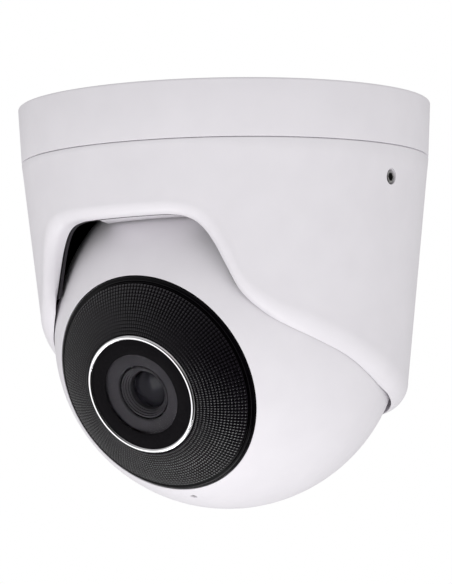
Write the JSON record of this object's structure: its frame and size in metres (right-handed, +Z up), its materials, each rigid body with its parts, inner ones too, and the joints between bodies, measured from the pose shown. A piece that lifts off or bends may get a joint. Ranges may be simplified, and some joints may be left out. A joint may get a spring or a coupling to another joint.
{
  "type": "ceiling turret camera",
  "caption": "White ceiling surveillance camera: a tapered turret that pans on a round base and holds an eyeball with a black textured bezel, which tilts and rolls.",
  "frame": {"origin": "centre of the flat face that goes against the ceiling", "axes": "+Z points up into the ceiling and is the pan axis; the opening of the turret faces -Y; +X is to the right when looking along +Y"},
  "size_m": [0.11, 0.11, 0.1071],
  "materials": {
    "white_paint": "fine satin white, slightly textured",
    "die_cast": "as cast, matt",
    "screw_steel": "zinc plated",
    "black_rubber": "matt",
    "black_plastic": "glossy black moulding",
    "black_nylon": "matt",
    "chrome_trim": "polished",
    "clear_window": "clear, coated",
    "led_lens": "clear moulding",
    "circuit_board": "solder mask",
    "chip": "moulded package",
    "standoff_brass": "turned"
  },
  "bodies": {
    "base": {"base_housing": "white_paint", "cable_gland": "black_rubber", "mounting_plate": "die_cast", "pan_brake_spring": "screw_steel", "pan_washer": "black_nylon", "plate_screw_1": "screw_steel", "plate_screw_2": "screw_steel", "plate_screw_3": "screw_steel", "retaining_ring": "die_cast", "ring_screw_1": "screw_steel", "ring_screw_2": "screw_steel", "ring_screw_3": "screw_steel"},
    "turret": {"brow_liner": "white_paint", "cover_shell": "white_paint", "pivot_dome": "black_plastic", "set_screw_left": "screw_steel", "set_screw_right": "screw_steel", "turret_frame": "die_cast"},
    "cradle": {"retainer_screw_1": "screw_steel", "retainer_screw_2": "screw_steel", "retainer_screw_3": "screw_steel", "roll_friction_ring": "black_rubber", "roll_retainer": "die_cast", "tilt_shoe": "black_nylon"},
    "eyeball": {"ball_shell": "white_paint", "bezel": "black_plastic", "board_connector": "black_nylon", "board_standoff_1": "standoff_brass", "board_standoff_2": "standoff_brass", "board_standoff_3": "standoff_brass", "board_standoff_4": "standoff_brass", "bracket_screw_1": "screw_steel", "bracket_screw_2": "screw_steel", "bracket_screw_3": "screw_steel", "chrome_ring": "chrome_trim", "heat_sink": "die_cast", "image_sensor": "chip", "infrared_led_1": "led_lens", "infrared_led_2": "led_lens", "infrared_led_3": "led_lens", "inner_bracket": "die_cast", "ir_cut_filter": "clear_window", "led_board": "circuit_board", "lens_barrel": "black_plastic", "lens_front_glass": "clear_window", "lens_holder": "black_plastic", "light_baffle": "black_rubber", "main_board": "circuit_board", "microphone": "screw_steel", "processor": "chip", "rear_cover": "die_cast", "rear_cover_screw_1": "screw_steel", "rear_cover_screw_2": "screw_steel", "rear_cover_screw_3": "screw_steel", "rear_gasket": "black_rubber", "sensor_board": "circuit_board", "sensor_standoff_1": "standoff_brass", "sensor_standoff_2": "standoff_brass", "window_gasket": "black_rubber", "window_glass": "clear_window"}
  },
  "joints": [
    {"name": "turret_pan", "type": "hinge", "parent": "base", "child": "turret", "pos_m": [0, 0, 0], "axis": [0, 0, 1], "range_deg": [-180, 180]},
    {"name": "ball_tilt", "type": "hinge", "parent": "turret", "child": "cradle", "pos_m": [0, 0, -0.061], "axis": [1, 0, 0], "range_deg": [-11, 66.9]},
    {"name": "ball_roll", "type": "hinge", "parent": "cradle", "child": "eyeball", "pos_m": [0, 0, -0.061], "axis": [0, -0.9201, -0.3917], "range_deg": [-180, 180]}
  ]
}
